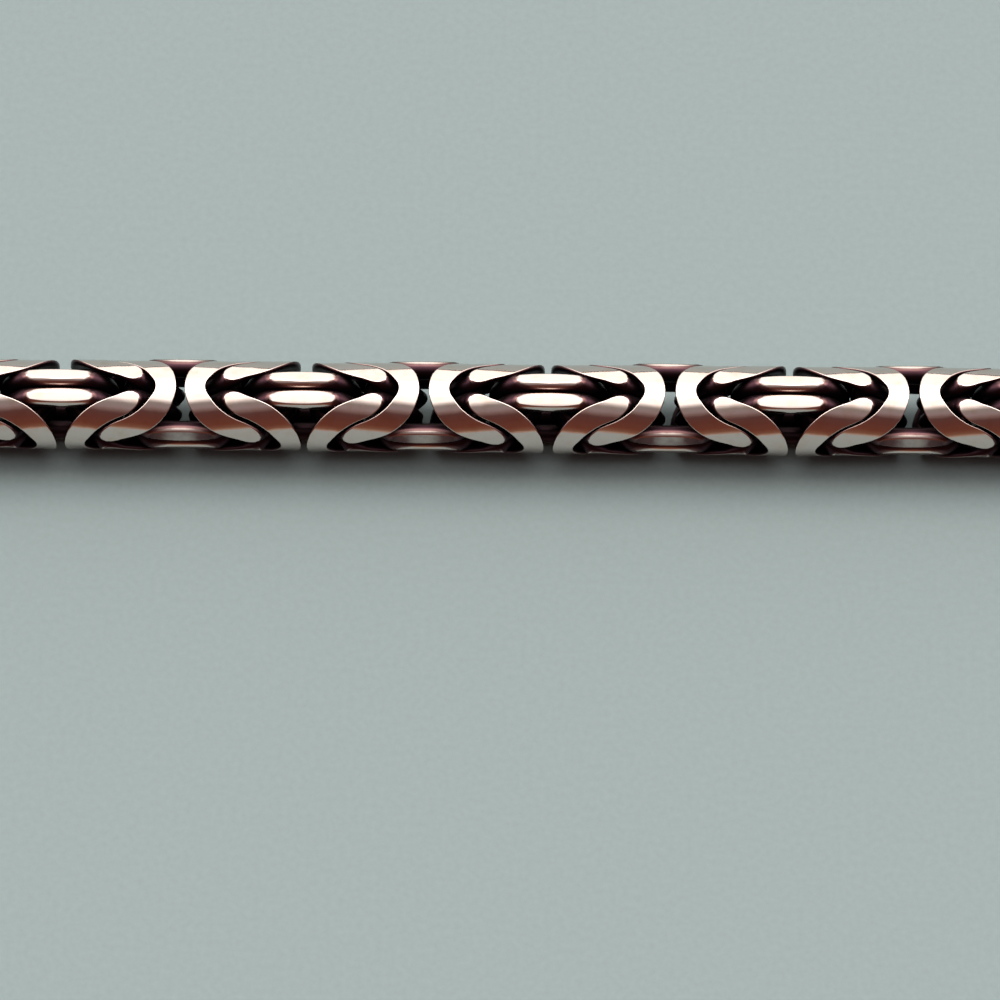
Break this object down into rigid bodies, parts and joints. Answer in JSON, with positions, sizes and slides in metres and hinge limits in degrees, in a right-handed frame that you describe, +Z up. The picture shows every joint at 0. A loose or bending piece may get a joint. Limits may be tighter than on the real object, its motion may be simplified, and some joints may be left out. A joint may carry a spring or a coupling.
{
  "type": "byzantine chain necklace",
  "caption": "Round Byzantine neck chain of interlocking polished silver rings, a closed loop with a plain barrel clasp, lying flat.",
  "frame": {"origin": "under the middle of the loop, on the surface that the necklace lies on", "axes": "+X along the straight front stretch, +Y from the front stretch to the clasp, +Z up"},
  "size_m": [0.1942, 0.1138, 0.007],
  "materials": {
    "chain": "polished silver, dark in the recesses",
    "clasp": "polished silver"
  },
  "bodies": {
    "root": {"front_chain": "chain", "back_chain": "chain", "clasp": "clasp"}
  },
  "joints": []
}
